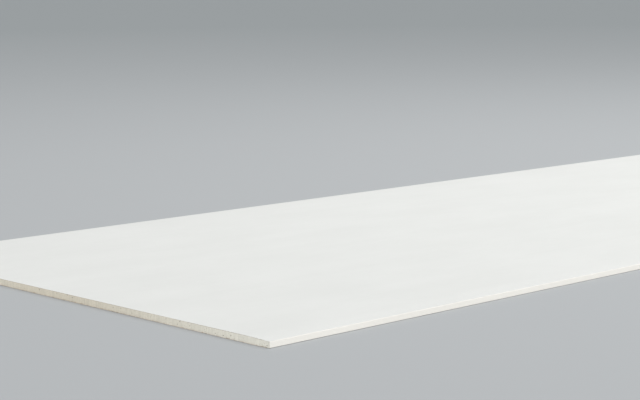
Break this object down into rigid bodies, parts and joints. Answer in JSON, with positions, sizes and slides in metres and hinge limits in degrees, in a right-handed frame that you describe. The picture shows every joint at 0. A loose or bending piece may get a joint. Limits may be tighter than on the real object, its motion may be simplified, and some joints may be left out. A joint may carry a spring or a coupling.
{
  "type": "drywall sheet",
  "caption": "Flat gypsum board faced with white paper, with tapered long edges wrapped by the paper, square cut ends and a grey-beige back liner, for lining walls and ceilings.",
  "frame": {"origin": "centre of the outer surface of the back paper, the face the sheet lies on", "axes": "+X along the sheet's length, +Y across its width, +Z out of the white face"},
  "size_m": [3, 1.2, 0.0125],
  "materials": {
    "gypsum": "matt, slightly crumbly where it is cut",
    "face_liner": "smooth matt ivory-white paper",
    "back_liner": "rough matt grey-beige recycled paper"
  },
  "bodies": {
    "root": {"gypsum_core": "gypsum", "face_paper": "face_liner", "back_paper": "back_liner"}
  },
  "joints": []
}
